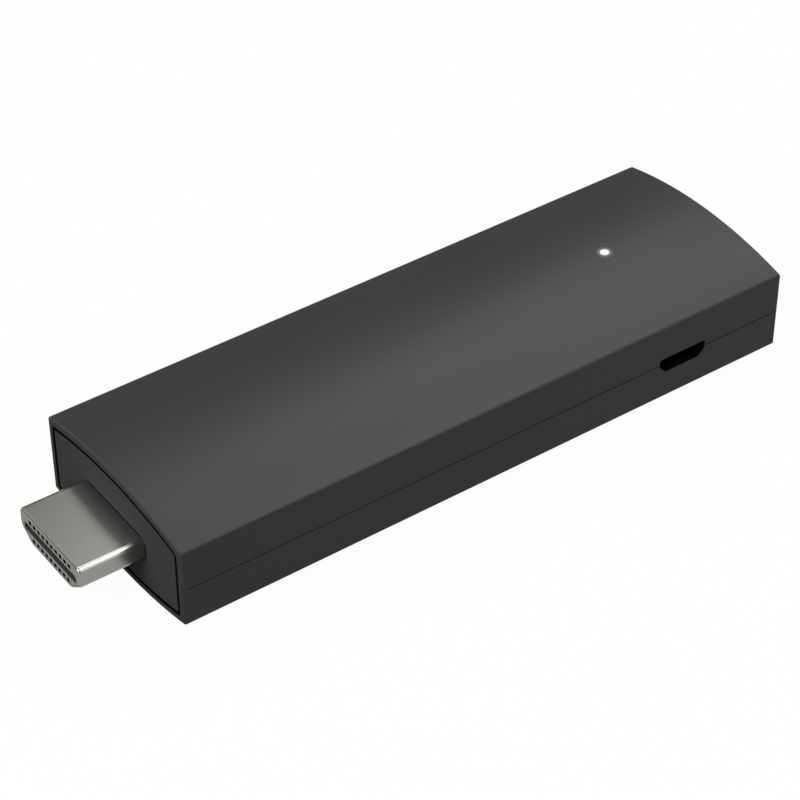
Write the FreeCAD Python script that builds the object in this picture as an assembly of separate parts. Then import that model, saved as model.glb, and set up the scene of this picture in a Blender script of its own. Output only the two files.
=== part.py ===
import FreeCAD, Part
import math
import os

V = FreeCAD.Vector

# Streaming stick, all sizes in millimetres.
# X runs along the stick with the plug towards -X, the power port faces -Y and Z is up.
# The zero point lies under the middle of the whole stick, on its lowest point.

# Body
body_length = 90.7
body_width = 30.2
side_height = 11.2      # straight part of the long sides
crown_rise = 1.9        # how far the top bulges above the sides, and the bottom below them
edge_radius = 0.4

# Moulded shells
side_wall = 1.7
crown_wall = 1.6
end_wall = 1.6
split_drop = 0.1        # the split lies this far below mid height
seam_height = 0.16      # shadow groove that runs round the split
seam_depth = 0.14
seam_start = 0.6        # where the groove begins behind the front rim
lip_height = 1.5
lip_thickness = 0.7
lip_clearance = 0.08
lip_setback = 0.9       # from the cap's skirt to the lip
snap_length = 5.0
snap_reach = 0.25
snap_height = 0.5
snap_lift = 0.65
snap_clearance = 0.1
snap_first = 16.0
snap_pitch = 22.0
snaps = 3               # on each long side
rib_thickness = 1.0
rear_rib_width = 12.0

# Front opening and the cap that closes it
rim_thickness = 0.94
recess_depth = 1.7
opening_corner = 0.5
cap_gap = 0.44
cap_edge = 0.15
skirt_clearance = 0.1
skirt_thickness = 1.0
skirt_depth = 2.6
socket_wall = 1.0
socket_depth = 1.9
latch_width = 3.0
latch_reach = 0.35
latch_length = 1.2
latch_offset = 7.0
latch_setback = 0.9
latch_clearance = 0.12

# Video plug
plug_reach = 8.9        # from the front rim to the plug's tip
plug_width = 13.9
plug_height = 4.45
plug_side = 2.7         # straight part of the plug's sides
plug_floor = 9.3        # width of the flat underside
plug_drop = 0.5         # the plug's axis lies this far below mid height
plug_corner = 0.7
plug_lower_corner = 0.45
plug_sheet = 0.3
plug_tail = 5.0         # the plug's tube ends this far behind the front rim
plug_gap = 0.12
plug_nose = 0.2
plug_seam = 0.1
wing_length = 4.2
leg_width = 1.2
leg_stick_out = 0.7
leg_clearance = 0.15
insulator_gap = 0.06
insulator_setback = 0.04
slot_side = 0.95        # from the plug's side to the slot's end
slot_height = 1.2
slot_lift = 0.0
slot_depth = 7.0
slot_corner = 0.3
window_size = 0.66
upper_window_lift = 1.2
lower_window_drop = 1.34
contact_pitch = 1.01
upper_contacts = 10
lower_contacts = 9
contact_width = 0.34
contact_thickness = 0.18
contact_setback = 0.9
contact_bump = 0.2      # how far a contact springs into the slot
bump_start = 2.4
bump_peak = 4.0
bump_end = 5.6
front_wall = 0.6        # the windows' depth, behind it the channels open into the slot
tail_bend = 0.5         # length over which a contact steps from its row to the board
tail_land = 1.4         # soldered end of a contact

# Circuit board
board_thickness = 1.0
board_front_gap = 0.3
board_rear_gap = 1.8
board_side_gap = 0.75
board_corner = 1.2
post_radius = 1.6
pin_radius = 0.65
pin_length = 1.1
pin_clearance = 0.15
post_inset = 2.1        # from the board's long edges
front_post = 7.1        # from the board's front edge
rear_post = 4.7         # from the board's rear edge

# Shield cans, one on each face of the board
can_wall = 0.2
can_height = 1.6
can_flange = 0.9
can_width = 22.4
can_start = 12.2        # from the board's front edge
can_length = 34.0
lower_can_length = 30.0
lid_sheet = 0.15
lid_skirt = 1.1
lid_gap = 0.05

# Chips and other parts on the board
processor_size = 13.0
processor_height = 1.15
processor_place = 10.0  # chips under the cans are placed from the cans' front end
memory_length = 8.0
memory_width = 9.0
memory_height = 0.9
memory_place = 25.5
memory_side = 5.0
flash_length = 11.5
flash_width = 13.0
flash_height = 1.0
flash_place = 8.5
power_chip_size = 6.0
power_chip_height = 0.85
power_chip_place = 22.5
package_base = 0.25     # substrate under each moulded package
package_step = 0.4
inductor_size = 4.0
inductor_height = 1.9
inductor_place = 6.0    # behind the lower can
inductor_pitch = 6.0
inductor_radius = 1.5
inductor_foot = 0.4
inductors = 3
wifi_length = 11.0
wifi_width = 10.0
wifi_height = 1.7
wifi_gap = 5.0          # behind the upper can
wifi_side = 6.2
crystal_length = 3.2
crystal_width = 2.5
crystal_height = 0.7
capacitor_length = 1.0
capacitor_width = 0.5
capacitor_height = 0.5
capacitor_pitch = 3.0
capacitors = 8
capacitor_side = 10.0
capacitor_start = 4.5
esd_length = 1.0
esd_width = 2.5
esd_height = 0.6
esd_place = 5.9         # from the board's front edge
esd_side = 2.6
antenna_sheet = 0.2
antenna_height = 3.4
antenna_bar = 0.9
antenna_reach = 7.0
antenna_leg = 0.7
antenna_leg_pitch = 2.2
antenna_side = 1.8
antenna_setback = 1.0   # from the board's rear edge

# Heat path
lid_pad_height = 0.8
spreader_length = 32.0
lower_spreader_length = 28.0
spreader_width = 20.0
spreader_height = 0.9
spreader_corner = 2.0
pad_size = 12.0
lid_pad_length = 24.0
lid_pad_width = 16.0

# Power port
port_place = 16.05      # from the rear end
port_drop = 0.43        # the port's middle lies this far below mid height
port_width = 7.4
port_height = 2.2
port_top = 6.8
port_floor = 5.3
port_shoulder = 0.4
port_side = 0.85
port_corner = 0.2
port_wall = 1.0
receptacle_width = 7.5
receptacle_height = 2.45
receptacle_side = 1.35
receptacle_floor = 5.6
receptacle_corner = 0.3
receptacle_sheet = 0.25
receptacle_depth = 5.0
receptacle_clearance = 0.15
receptacle_back = 1.3
tab_length = 1.4
tab_reach = 1.1
tab_inset = 1.5
tongue_width = 3.9
tongue_height = 0.6
tongue_lift = 0.3
tongue_depth = 2.9
usb_contacts = 5
usb_pitch = 0.65
usb_contact_width = 0.35
usb_contact_thickness = 0.15
usb_bend = 0.33
usb_tail = 1.1

# Status light
light_place = 17.0      # from the rear end
light_radius = 0.75
light_clearance = 0.04
light_flange_radius = 1.6
light_flange_height = 0.7
light_edge = 0.1
light_boss_radius = 2.4
light_boss_drop = 0.5
led_length = 1.6
led_lens_length = 1.1
led_width = 0.9
led_base = 0.3
led_height = 0.8
led_gap = 0.3

# Places that follow from the sizes above
front_x = -(body_length + plug_reach) / 2 + plug_reach
rear_x = front_x + body_length
tip_x = front_x - plug_reach
half_width = body_width / 2
mid_z = side_height / 2 + crown_rise
split_z = mid_z - split_drop
crown_radius = (half_width ** 2 + crown_rise ** 2) / (2 * crown_rise)
crown_offset = side_height / 2 + crown_rise - crown_radius
cavity_half = half_width - side_wall
cavity_rear = rear_x - end_wall
plug_z = mid_z - plug_drop
board_top = plug_z + board_thickness / 2
board_bottom = plug_z - board_thickness / 2
board_front_x = front_x + plug_tail + board_front_gap
board_rear_x = cavity_rear - board_rear_gap
board_half = cavity_half - board_side_gap
can_x = board_front_x + can_start
wifi_x = can_x + can_length + wifi_gap + wifi_length / 2
port_z = mid_z - port_drop
port_x = rear_x - port_place
light_x = rear_x - light_place
receptacle_front = -half_width + port_wall
receptacle_rear = receptacle_front + receptacle_depth
past = 1.0              # how far a cutting tool runs past the face that it opens


def box(x0, x1, y0, y1, z0, z1):
    return Part.makeBox(x1 - x0, y1 - y0, z1 - z0, V(x0, y0, z0))


def block(x, y, length, width, z0, z1):
    return box(x - length / 2, x + length / 2, y - width / 2, y + width / 2, z0, z1)


def fuse(shapes):
    joined = shapes[0].fuse(shapes[1:]) if len(shapes) > 1 else shapes[0]
    return joined.removeSplitter()


def save(name, shape):
    shape.exportStep(os.path.join("parts", name + ".step"))


# A closed outline of straight sides whose corners are tangent arcs.
# place turns the outline's own two coordinates into a point in space.
def rounded_outline(corners, radii, place):
    edges = []
    starts = []
    ends = []
    for i, corner in enumerate(corners):
        before = corners[i - 1]
        after = corners[(i + 1) % len(corners)]
        to_before = unit(before[0] - corner[0], before[1] - corner[1])
        to_after = unit(after[0] - corner[0], after[1] - corner[1])
        half_angle = math.acos(to_before[0] * to_after[0] + to_before[1] * to_after[1]) / 2
        reach = radii[i] / math.tan(half_angle)
        starts.append((corner[0] + to_before[0] * reach, corner[1] + to_before[1] * reach))
        ends.append((corner[0] + to_after[0] * reach, corner[1] + to_after[1] * reach))
        if radii[i] > 0:
            inward = unit(to_before[0] + to_after[0], to_before[1] + to_after[1])
            depth = radii[i] / math.sin(half_angle) - radii[i]
            middle = (corner[0] + inward[0] * depth, corner[1] + inward[1] * depth)
            arc = Part.Arc(place(*starts[i]), place(*middle), place(*ends[i]))
            edges.append(arc.toShape())
        else:
            edges.append(None)
    path = []
    for i in range(len(corners)):
        if edges[i] is not None:
            path.append(edges[i])
        following = starts[(i + 1) % len(corners)]
        path.append(Part.makeLine(place(*ends[i]), place(*following)))
    return Part.Face(Part.Wire(path))


def unit(a, b):
    size = math.hypot(a, b)
    return a / size, b / size


# Moves every side of a convex outline, listed clockwise, inwards by the same distance.
def inset_outline(corners, distance):
    lines = []
    for i, corner in enumerate(corners):
        after = corners[(i + 1) % len(corners)]
        along = unit(after[0] - corner[0], after[1] - corner[1])
        inward = (along[1], -along[0])
        lines.append((corner[0] + inward[0] * distance, corner[1] + inward[1] * distance, along))
    moved = []
    for i, line in enumerate(lines):
        px, py, p = lines[i - 1]
        qx, qy, q = line
        cross = p[0] * q[1] - p[1] * q[0]
        t = ((qx - px) * q[1] - (qy - py) * q[0]) / cross
        moved.append((px + p[0] * t, py + p[1] * t))
    return moved


# A bent strip of sheet metal seen from its edge: a line of points given a thickness.
def strip_face(points, thickness, place):
    sides = ([], [])
    for i, point in enumerate(points):
        before = points[max(i - 1, 0)]
        after = points[min(i + 1, len(points) - 1)]
        first = unit(point[0] - before[0], point[1] - before[1]) if i > 0 else None
        second = unit(after[0] - point[0], after[1] - point[1]) if i < len(points) - 1 else None
        first = first or second
        second = second or first
        along = unit(first[0] + second[0], first[1] + second[1])
        stretch = thickness / 2 / (along[0] * first[0] + along[1] * first[1])
        sides[0].append((point[0] - along[1] * stretch, point[1] + along[0] * stretch))
        sides[1].append((point[0] + along[1] * stretch, point[1] - along[0] * stretch))
    loop = sides[0] + sides[1][::-1]
    loop.append(loop[0])
    return Part.Face(Part.makePolygon([place(*p) for p in loop]))


# Height of the crowned surfaces above mid height, at y and at a depth below the skin.
def crown_height(y, depth):
    return crown_offset + math.sqrt((crown_radius - depth) ** 2 - y ** 2)


# The body's cross section drawn inwards by one distance at the sides and one at the crowns.
def body_section(x, side_inset, crown_inset):
    y = half_width - side_inset
    edge = crown_height(y, crown_inset)
    apex = crown_height(0, crown_inset)
    upper = Part.Arc(V(x, -y, mid_z + edge), V(x, 0, mid_z + apex), V(x, y, mid_z + edge))
    lower = Part.Arc(V(x, y, mid_z - edge), V(x, 0, mid_z - apex), V(x, -y, mid_z - edge))
    right = Part.makeLine(V(x, y, mid_z + edge), V(x, y, mid_z - edge))
    left = Part.makeLine(V(x, -y, mid_z - edge), V(x, -y, mid_z + edge))
    return Part.Face(Part.Wire([upper.toShape(), right, lower.toShape(), left]))


def body_prism(x0, x1, side_inset, crown_inset):
    return body_section(x0, side_inset, crown_inset).extrude(V(x1 - x0, 0, 0))


def long_edges(shape):
    return [e for e in shape.Edges if e.Curve.TypeId == "Part::GeomLine"
            and abs(e.tangentAt(e.FirstParameter).x) > 0.999]


def front_edges(shape, x):
    return [e for e in shape.Edges if abs(e.BoundBox.XMin - x) < 1e-6 and abs(e.BoundBox.XMax - x) < 1e-6]


def plug_corners():
    top = plug_height / 2
    shoulder = top - plug_side
    w = plug_width / 2
    f = plug_floor / 2
    return [(-w, top), (w, top), (w, shoulder), (f, -top), (-f, -top), (-w, shoulder)]


def plug_prism(x0, x1, inset):
    corners = inset_outline(plug_corners(), inset)
    upper = max(plug_corner - inset, 0)
    lower = max(plug_lower_corner - inset, 0)
    radii = [upper, upper, lower, lower, lower, lower]
    face = rounded_outline(corners, radii, lambda y, z: V(x0, y, plug_z + z))
    return face.extrude(V(x1 - x0, 0, 0))


def port_corners():
    top = port_height / 2
    t = port_top / 2
    w = port_width / 2
    f = port_floor / 2
    lower = top - port_shoulder - port_side
    return [(-t, top), (t, top), (w, top - port_shoulder), (w, lower), (f, -top), (-f, -top), (-w, lower),
            (-w, top - port_shoulder)]


def port_prism(y0, y1):
    corners = port_corners()
    radii = [port_corner] * len(corners)
    face = rounded_outline(corners, radii, lambda x, z: V(port_x + x, y0, port_z + z))
    return face.extrude(V(0, y1 - y0, 0))


def receptacle_prism(y0, y1, inset):
    top = receptacle_height / 2
    w = receptacle_width / 2
    f = receptacle_floor / 2
    shoulder = top - receptacle_side
    corners = [(-w, top), (w, top), (w, shoulder), (f, -top), (-f, -top), (-w, shoulder)]
    radius = max(receptacle_corner - inset, 0)
    face = rounded_outline(inset_outline(corners, inset), [radius] * len(corners),
                           lambda x, z: V(port_x + x, y0, port_z + z))
    return face.extrude(V(0, y1 - y0, 0))


# Both shells start as one hollow case, open at the front.
def make_case():
    outer = body_prism(front_x, rear_x, 0, 0)
    outer = outer.makeFillet(edge_radius, outer.Edges)
    cavity = body_prism(front_x - past, cavity_rear, side_wall, crown_wall)
    recess = body_prism(front_x - past, front_x + recess_depth, rim_thickness, rim_thickness)
    recess = recess.makeFillet(opening_corner, long_edges(recess))
    return outer.cut([cavity, recess])


# The ring on the lower shell that centres the upper one, grown for the groove that takes it.
def lip_ring(growth):
    start = front_x + recess_depth + skirt_depth + lip_setback
    outside = box(start - growth, cavity_rear + lip_thickness + growth,
                  -cavity_half - lip_thickness - growth, cavity_half + lip_thickness + growth,
                  split_z, split_z + lip_height + growth)
    inside = box(front_x, cavity_rear, -cavity_half, cavity_half,
                 split_z - past, split_z + lip_height + past)
    return outside.cut(inside)


def snap_ridges(growth):
    ridges = []
    reach = snap_reach + growth
    for i in range(snaps):
        for side in (-1, 1):
            face = side * (cavity_half + lip_thickness)
            x = front_x + snap_first + i * snap_pitch
            low = split_z + snap_lift - growth
            high = split_z + snap_lift + snap_height + growth
            y0, y1 = sorted((face, face + side * reach))
            reach_x = snap_length / 2 + growth
            ridges.append(box(x - reach_x, x + reach_x, y0, y1, low, high))
    return ridges


def latch_pocket_height(growth):
    return crown_height(latch_offset, crown_wall) + latch_reach + growth


# Wedges on the cap's skirt, or with growth the pockets in the shells that hold them.
def latches(side, growth):
    shapes = []
    rear = front_x + recess_depth + latch_setback
    base = crown_height(latch_offset + latch_width / 2, crown_wall + skirt_clearance + skirt_thickness / 2)
    top = latch_pocket_height(growth)
    for y in (-latch_offset, latch_offset):
        if growth:
            shape = box(rear - growth, rear + latch_length + growth, y - latch_width / 2 - growth,
                        y + latch_width / 2 + growth, mid_z + min(side * base, side * top),
                        mid_z + max(side * base, side * top))
        else:
            profile = [V(rear, y - latch_width / 2, mid_z + side * base),
                       V(rear, y - latch_width / 2, mid_z + side * top),
                       V(rear + latch_length, y - latch_width / 2, mid_z + side * (top - latch_reach)),
                       V(rear + latch_length, y - latch_width / 2, mid_z + side * base)]
            profile.append(profile[0])
            shape = Part.Face(Part.makePolygon(profile)).extrude(V(0, latch_width, 0))
        shapes.append(shape)
    return shapes


def post_places():
    columns = (board_front_x + front_post, board_rear_x - rear_post)
    return [(x, side * (board_half - post_inset)) for x in columns for side in (-1, 1)]


# Two of the posts, at opposite corners, carry a pin that places the board.
def pin_places():
    places = post_places()
    return [places[0], places[-1]]


def board_face(side):
    return board_top if side > 0 else board_bottom


# A moulded post from the board's face into the crown wall.
def post(x, y, side):
    face = board_face(side)
    root = mid_z + side * crown_height(y, crown_wall / 2)
    return Part.makeCylinder(post_radius, abs(root - face), V(x, y, face), V(0, 0, side))


def spreader_face(side):
    return board_face(side) + side * (can_height + lid_sheet + lid_pad_height + spreader_height)


def plate_length(side):
    return spreader_length if side > 0 else lower_spreader_length


# Two long ribs in each shell that press on its heat spreader.
def ribs(side):
    length = plate_length(side)
    shapes = []
    for y in (-spreader_width / 4, spreader_width / 4):
        root = mid_z + side * crown_height(y, crown_wall / 2)
        z0, z1 = sorted((spreader_face(side), root))
        shapes.append(block(can_middle(side), y, length, rib_thickness, z0, z1))
    return shapes


# A short rib under the board between the rear posts.
def rear_rib():
    root = mid_z - crown_height(0, crown_wall / 2)
    return block(board_rear_x - rear_post, 0, rib_thickness, rear_rib_width, root, board_bottom)


def receptacle_pocket():
    c = receptacle_clearance
    w = receptacle_width / 2 + c
    h = receptacle_height / 2 + c
    return box(port_x - w, port_x + w, receptacle_front, -cavity_half + past, port_z - h, port_z + h)


# Room for the port's body where the lip would cross it.
def lip_break():
    w = receptacle_width / 2 + receptacle_clearance + tab_reach
    return box(port_x - w, port_x + w, -cavity_half - lip_thickness - lip_clearance, -cavity_half + past,
               split_z, split_z + lip_height + past)


def make_upper_shell(case):
    shell = case.common(box(front_x - past, rear_x + past, -body_width, body_width,
                            split_z, 2 * mid_z + past))
    bodies = [shell] + [post(x, y, 1) for x, y in post_places()] + ribs(1)
    boss_top = mid_z + crown_height(0, crown_wall / 2)
    boss_bottom = mid_z + crown_height(0, crown_wall) - light_boss_drop
    bodies.append(Part.makeCylinder(light_boss_radius, boss_top - boss_bottom, V(light_x, 0, boss_bottom)))
    shell = fuse(bodies)
    cuts = [lip_ring(lip_clearance)]
    cuts += [port_prism(-half_width - past, receptacle_front + past), receptacle_pocket()]
    cuts += snap_ridges(snap_clearance)
    cuts += latches(1, latch_clearance)
    hole = pin_radius + pin_clearance
    for x, y in pin_places():
        cuts.append(Part.makeCylinder(hole, pin_length + pin_clearance, V(x, y, board_top)))
    cuts.append(Part.makeCylinder(light_radius + light_clearance, 2 * mid_z,
                                  V(light_x, 0, boss_bottom - past)))
    return shell.cut(cuts)


def seam_groove():
    ring = box(front_x + seam_start, rear_x + past, -half_width - past, half_width + past,
               split_z - seam_height, split_z)
    keep = box(front_x, rear_x - seam_depth, -half_width + seam_depth, half_width - seam_depth,
               split_z - seam_height, split_z)
    corners = [e for e in keep.Edges if abs(e.BoundBox.ZLength - seam_height) < 1e-6
               and e.BoundBox.XMin > rear_x - 2 * seam_depth]
    keep = keep.makeFillet(edge_radius - seam_depth, corners)
    return ring.cut(keep)


def make_lower_shell(case):
    shell = case.common(box(front_x - past, rear_x + past, -body_width, body_width, -past, split_z))
    lip = lip_ring(0).cut(lip_break())
    bodies = [shell, lip, rear_rib()] + snap_ridges(0) + ribs(-1)
    bodies += [post(x, y, -1) for x, y in post_places()]
    for x, y in pin_places():
        bodies.append(Part.makeCylinder(pin_radius, board_thickness + pin_length, V(x, y, board_bottom)))
    shell = fuse(bodies)
    cuts = [port_prism(-half_width - past, receptacle_front + past), receptacle_pocket(), seam_groove()]
    cuts += latches(-1, latch_clearance)
    return shell.cut(cuts)


def make_front_cap():
    inset = rim_thickness + cap_gap
    back_x = front_x + recess_depth
    plate = body_prism(front_x, back_x, inset, inset)
    plate = plate.makeFillet(opening_corner - cap_gap / 2, long_edges(plate))
    plate = plate.makeChamfer(cap_edge, front_edges(plate, front_x))
    outside = skirt_clearance
    inside = skirt_clearance + skirt_thickness
    skirt = body_prism(back_x, back_x + skirt_depth, side_wall + outside, crown_wall + outside)
    hollow = body_prism(back_x, back_x + skirt_depth + past, side_wall + inside, crown_wall + inside)
    socket = plug_prism(back_x, back_x + socket_depth, -plug_gap - socket_wall)
    cap = fuse([plate, skirt.cut(hollow), socket] + latches(1, 0) + latches(-1, 0))
    return cap.cut(plug_prism(front_x - past, back_x + socket_depth + past, -plug_gap))


def wing_x():
    return front_x + plug_tail, front_x + plug_tail + wing_length


def leg_places():
    x0, x1 = wing_x()
    return [(x1 - leg_width / 2, side * (plug_width / 2 - plug_sheet / 2)) for side in (-1, 1)]


# Stamped tube with a butt seam underneath and a wing with a soldered leg at each rear corner.
def make_hdmi_plug_shell():
    tail_x = front_x + plug_tail
    outer = plug_prism(tip_x, tail_x, 0)
    outer = outer.makeChamfer(plug_nose, front_edges(outer, tip_x))
    tube = outer.cut(plug_prism(tip_x - past, tail_x + past, plug_sheet))
    seam = box(tip_x - past, tail_x + past, -plug_seam / 2, plug_seam / 2,
               plug_z - plug_height / 2 - past, plug_z - plug_height / 2 + 2 * plug_sheet)
    tube = tube.cut(seam)
    x0, x1 = wing_x()
    bodies = [tube]
    high = plug_z + plug_height / 2 - plug_corner
    for side in (-1, 1):
        y0, y1 = sorted((side * plug_width / 2, side * (plug_width / 2 - plug_sheet)))
        bodies.append(box(x0 - plug_sheet, x1, y0, y1, board_top, high))
    for x, y in leg_places():
        bodies.append(block(x, y, leg_width, plug_sheet, board_bottom - leg_stick_out, board_top))
    return fuse(bodies)


def row_places(count, pitch):
    return [(i - (count - 1) / 2) * pitch for i in range(count)]


# One spring contact from the slot to its solder tail, seen from the side.
# side is 1 for the row above the slot and -1 for the row below it.
def contact_line(side):
    level = upper_window_lift if side > 0 else -lower_window_drop
    slot_face = slot_lift + side * slot_height / 2
    peak = slot_face - side * (contact_bump - contact_thickness / 2)
    tail = side * (board_thickness + contact_thickness) / 2
    start = tip_x + contact_setback
    rear = front_x + plug_tail
    return [(start, plug_z + level), (tip_x + bump_start, plug_z + level),
            (tip_x + bump_peak, plug_z + peak), (tip_x + bump_end, plug_z + level),
            (rear, plug_z + level), (rear + tail_bend, plug_z + tail),
            (rear + tail_bend + tail_land, plug_z + tail)]


def make_contacts(side):
    count = upper_contacts if side > 0 else lower_contacts
    shapes = []
    for y in row_places(count, contact_pitch):
        face = strip_face(contact_line(side), contact_thickness,
                          lambda a, b: V(a, y - contact_width / 2, b))
        shapes.append(face.extrude(V(0, contact_width, 0)))
    return shapes


# The moulded core fills the tube, with a slot for the socket's tongue and a channel for each contact.
def make_hdmi_insulator(contacts):
    start = tip_x + insulator_setback
    core = plug_prism(start, front_x + plug_tail, plug_sheet + insulator_gap)
    w = plug_width / 2 - slot_side
    h = slot_height / 2
    corners = [(-w, h), (w, h), (w, -h), (-w, -h)]
    slot = rounded_outline(corners, [slot_corner] * 4, lambda y, z: V(tip_x, y, plug_z + slot_lift + z))
    cuts = [slot.extrude(V(slot_depth, 0, 0))]
    half = window_size / 2
    for side, count in ((1, upper_contacts), (-1, lower_contacts)):
        level = plug_z + (upper_window_lift if side > 0 else -lower_window_drop)
        for y in row_places(count, contact_pitch):
            cuts.append(box(tip_x, start + front_wall, y - half, y + half, level - half, level + half))
            z0, z1 = sorted((level + side * half, plug_z + slot_lift))
            cuts.append(box(start + front_wall, tip_x + slot_depth, y - half, y + half, z0, z1))
    return core.cut(cuts).cut(contacts)


def make_main_board():
    x0 = board_front_x
    x1 = board_rear_x
    w = board_half
    corners = [(x0, w), (x1, w), (x1, -w), (x0, -w)]
    face = rounded_outline(corners, [board_corner] * 4, lambda x, y: V(x, y, board_bottom))
    board = face.extrude(V(0, 0, board_thickness))
    hole = pin_radius + pin_clearance
    cuts = [Part.makeCylinder(hole, 2 * board_thickness, V(x, y, board_bottom - board_thickness / 2))
            for x, y in pin_places()]
    notch = receptacle_width / 2 + receptacle_clearance
    cuts.append(box(port_x - notch, port_x + notch, -half_width, receptacle_rear + receptacle_clearance,
                    board_bottom - past, board_top + past))
    c = 2 * leg_clearance
    for x, y in leg_places():
        cuts.append(block(x, y, leg_width + c, plug_sheet + c, board_bottom - past, board_top + past))
    return board.cut(cuts)


def can_span(side):
    return can_length if side > 0 else lower_can_length


def can_middle(side):
    return can_x + can_span(side) / 2


# A block as large as a can, less an inset all round, between two heights above the board.
def can_block(side, inset, low, high):
    z0, z1 = sorted((board_face(side) + side * low, board_face(side) + side * high))
    return block(can_middle(side), 0, can_span(side) - 2 * inset, can_width - 2 * inset, z0, z1)


# Fence soldered round the chips, with a flange folded in along its top.
def make_shield_frame(side):
    fence = can_block(side, 0, 0, can_height)
    room = can_block(side, can_wall, 0, can_height - can_wall)
    window = can_block(side, can_flange, 0, can_height)
    return fence.cut([room, window])


# Pressed lid that clips over the fence.
def make_shield_lid(side):
    low = can_height - lid_skirt
    lid = can_block(side, -lid_gap - can_wall, low, can_height + lid_sheet)
    return lid.cut(can_block(side, -lid_gap, low, can_height))


# A moulded package standing a little inside its own substrate.
def package(x, y, length, width, height, side):
    board = board_face(side)
    z0, z1 = sorted((board, board + side * package_base))
    base = block(x, y, length, width, z0, z1)
    z0, z1 = sorted((board + side * package_base, board + side * height))
    cover = block(x, y, length - package_step, width - package_step, z0, z1)
    return fuse([base, cover])


def make_processor():
    return package(can_x + processor_place, 0, processor_size, processor_size, processor_height, 1)


def make_memory_chips():
    return [package(can_x + memory_place, side * memory_side, memory_length, memory_width, memory_height, 1)
            for side in (-1, 1)]


def make_flash_chip():
    return package(can_x + flash_place, 0, flash_length, flash_width, flash_height, -1)


def make_power_chip():
    return package(can_x + power_chip_place, 0, power_chip_size, power_chip_size, power_chip_height, -1)


def make_wifi_module():
    return package(wifi_x, wifi_side, wifi_length, wifi_width, wifi_height, 1)


# Wound choke: a square foot and a rounded core.
def make_power_inductors():
    shapes = []
    for y in row_places(inductors, inductor_pitch):
        x = can_x + lower_can_length + inductor_place
        foot = block(x, y, inductor_size, inductor_size, board_bottom - inductor_foot, board_bottom)
        core = Part.makeCylinder(inductor_radius, inductor_height - inductor_foot,
                                 V(x, y, board_bottom - inductor_height))
        shapes.append(fuse([foot, core]))
    return shapes


def make_crystals():
    places = ((can_x + processor_place + processor_size / 2 + crystal_length, 0),
              (wifi_x, -wifi_side))
    return [block(x, y, crystal_length, crystal_width, board_top, board_top + crystal_height)
            for x, y in places]


def make_capacitors():
    shapes = []
    for side in (-1, 1):
        for i in range(capacitors):
            x = can_x + capacitor_start + i * capacitor_pitch
            shapes.append(block(x, side * capacitor_side, capacitor_length, capacitor_width,
                                board_top, board_top + capacitor_height))
    return shapes


def make_esd_arrays():
    x = board_front_x + esd_place
    return [block(x, side * esd_side, esd_length, esd_width, board_top, board_top + esd_height)
            for side in (-1, 1)]


# Stamped inverted-F antenna standing on the board's rear end.
def make_antenna(side):
    x = board_rear_x - antenna_setback
    a = antenna_side
    top = board_top + antenna_height
    bar = top - antenna_bar
    outline = [(a, board_top), (a, top), (a + antenna_reach, top), (a + antenna_reach, bar),
               (a + antenna_leg_pitch + antenna_leg, bar), (a + antenna_leg_pitch + antenna_leg, board_top),
               (a + antenna_leg_pitch, board_top), (a + antenna_leg_pitch, bar), (a + antenna_leg, bar),
               (a + antenna_leg, board_top), (a, board_top)]
    face = Part.Face(Part.makePolygon([V(x, side * y, z) for y, z in outline]))
    return face.extrude(V(-antenna_sheet, 0, 0))


def make_processor_pad():
    return block(can_x + processor_place, 0, pad_size, pad_size, board_top + processor_height,
                 board_top + can_height)


def make_flash_pad():
    z0 = board_bottom - can_height
    z1 = board_bottom - flash_height
    return block(can_x + flash_place, 0, flash_length - 2 * package_step, pad_size, z0, z1)


def make_lid_pad(side):
    base = board_face(side) + side * (can_height + lid_sheet)
    z0, z1 = sorted((base, base + side * lid_pad_height))
    return block(can_middle(side), 0, lid_pad_length, lid_pad_width, z0, z1)


# Aluminium plate that carries heat from the lid to the whole of the shell.
def make_heat_spreader(side):
    length = plate_length(side)
    x0 = can_middle(side) - length / 2
    w = spreader_width / 2
    corners = [(x0, w), (x0 + length, w), (x0 + length, -w), (x0, -w)]
    face = rounded_outline(corners, [spreader_corner] * 4, lambda x, y: V(x, y, spreader_face(side)))
    return face.extrude(V(0, 0, -side * spreader_height))


# Stamped micro receptacle sunk in the board's notch, with four tabs soldered on the board's top.
def make_usb_shell():
    tube = receptacle_prism(receptacle_front, receptacle_rear, 0)
    tube = tube.cut(receptacle_prism(receptacle_front - past, receptacle_rear + past, receptacle_sheet))
    bodies = [tube]
    w = receptacle_width / 2
    for side in (-1, 1):
        x0, x1 = sorted((port_x + side * (w - receptacle_sheet / 2), port_x + side * (w + tab_reach)))
        for y in (-board_half + tab_inset, receptacle_rear - tab_inset / 2):
            bodies.append(box(x0, x1, y - tab_length / 2, y + tab_length / 2, board_top,
                              board_top + receptacle_sheet))
    return fuse(bodies)


def usb_contact_line():
    tongue_face = port_z + tongue_lift - tongue_height / 2
    level = tongue_face - usb_contact_thickness / 2
    front = receptacle_rear - receptacle_back - tongue_depth + tongue_height
    tail = board_top + usb_contact_thickness / 2
    bend = receptacle_rear - receptacle_back / 2
    return [(front, level), (bend, level), (bend + usb_bend, tail), (receptacle_rear + usb_tail, tail)]


def make_usb_contacts():
    shapes = []
    for x in row_places(usb_contacts, usb_pitch):
        face = strip_face(usb_contact_line(), usb_contact_thickness,
                          lambda a, b: V(port_x + x - usb_contact_width / 2, a, b))
        shapes.append(face.extrude(V(usb_contact_width, 0, 0)))
    return shapes


def make_usb_insulator(contacts):
    start = receptacle_rear - receptacle_back
    back = receptacle_prism(start, receptacle_rear, receptacle_sheet + insulator_gap)
    z = port_z + tongue_lift
    tongue = box(port_x - tongue_width / 2, port_x + tongue_width / 2, start - tongue_depth, start,
                 z - tongue_height / 2, z + tongue_height / 2)
    return fuse([back, tongue]).cut(contacts)


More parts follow.
